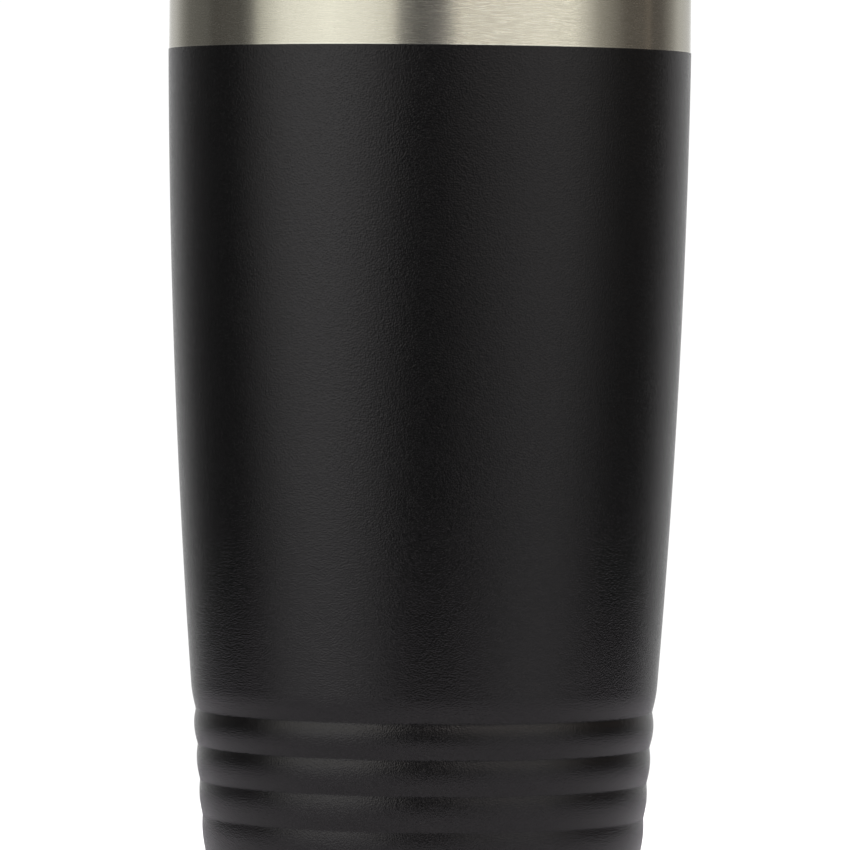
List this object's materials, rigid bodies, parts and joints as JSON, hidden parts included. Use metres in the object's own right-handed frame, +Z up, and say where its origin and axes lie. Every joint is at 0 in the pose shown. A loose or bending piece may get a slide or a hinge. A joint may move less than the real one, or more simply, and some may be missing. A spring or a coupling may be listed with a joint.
{
  "type": "insulated tumbler with lid",
  "caption": "Double-walled steel cup with a black coated barrel wall, grip grooves near the foot, and a clear push-in lid whose magnetic slider opens and shuts a drinking slot.",
  "frame": {"origin": "centre of the foot, on the surface that the cup stands on", "axes": "+Z up along the cup's axis, +X towards the lid's drinking opening"},
  "size_m": [0.0876, 0.0876, 0.1839],
  "materials": {
    "brushed_band": "fine horizontal brushing",
    "black_coat": "satin powder coating, fine orange peel",
    "inner_steel": "electropolished satin",
    "base_steel": "turned satin",
    "foil": "crinkled foil",
    "getter": "pressed metal powder",
    "solder": "dull solder",
    "silicone": "translucent satin silicone",
    "clear_lid": "clear glossy copolyester",
    "slider_black": "satin moulded",
    "cap_black": "fine spark-eroded texture",
    "seal_grey": "matt silicone",
    "magnet": "nickel plated"
  },
  "bodies": {
    "cup": {"outer_shell": "brushed_band", "powder_coat": "black_coat", "inner_liner": "inner_steel", "outer_base": "base_steel", "base_cover": "base_steel", "reflector_foil": "foil", "getter_clip": "inner_steel", "getter_pellet": "getter", "vacuum_seal": "solder"},
    "gasket": {"lid_gasket": "silicone"},
    "lid": {"lid_body": "clear_lid", "lid_magnet_open_left": "magnet", "lid_magnet_open_right": "magnet", "lid_magnet_closed_left": "magnet", "lid_magnet_closed_right": "magnet", "magnet_plug_open_left": "clear_lid", "magnet_plug_open_right": "clear_lid", "magnet_plug_closed_left": "clear_lid", "magnet_plug_closed_right": "clear_lid"},
    "slider": {"slider_body": "slider_black", "slider_cap": "cap_black", "slider_seal": "seal_grey", "slider_magnet_left": "magnet", "slider_magnet_right": "magnet"}
  },
  "joints": [
    {"name": "lid_lift", "type": "slide", "parent": "cup", "child": "gasket", "axis": [0, 0, 1], "range_m": [0, 0.06]},
    {"name": "lid_turn", "type": "hinge", "parent": "gasket", "child": "lid", "pos_m": [0, 0, 0.1745], "axis": [0, 0, 1], "continuous": true},
    {"name": "slider_slide", "type": "slide", "parent": "lid", "child": "slider", "axis": [1, 0, 0], "range_m": [0, 0.014]}
  ]
}
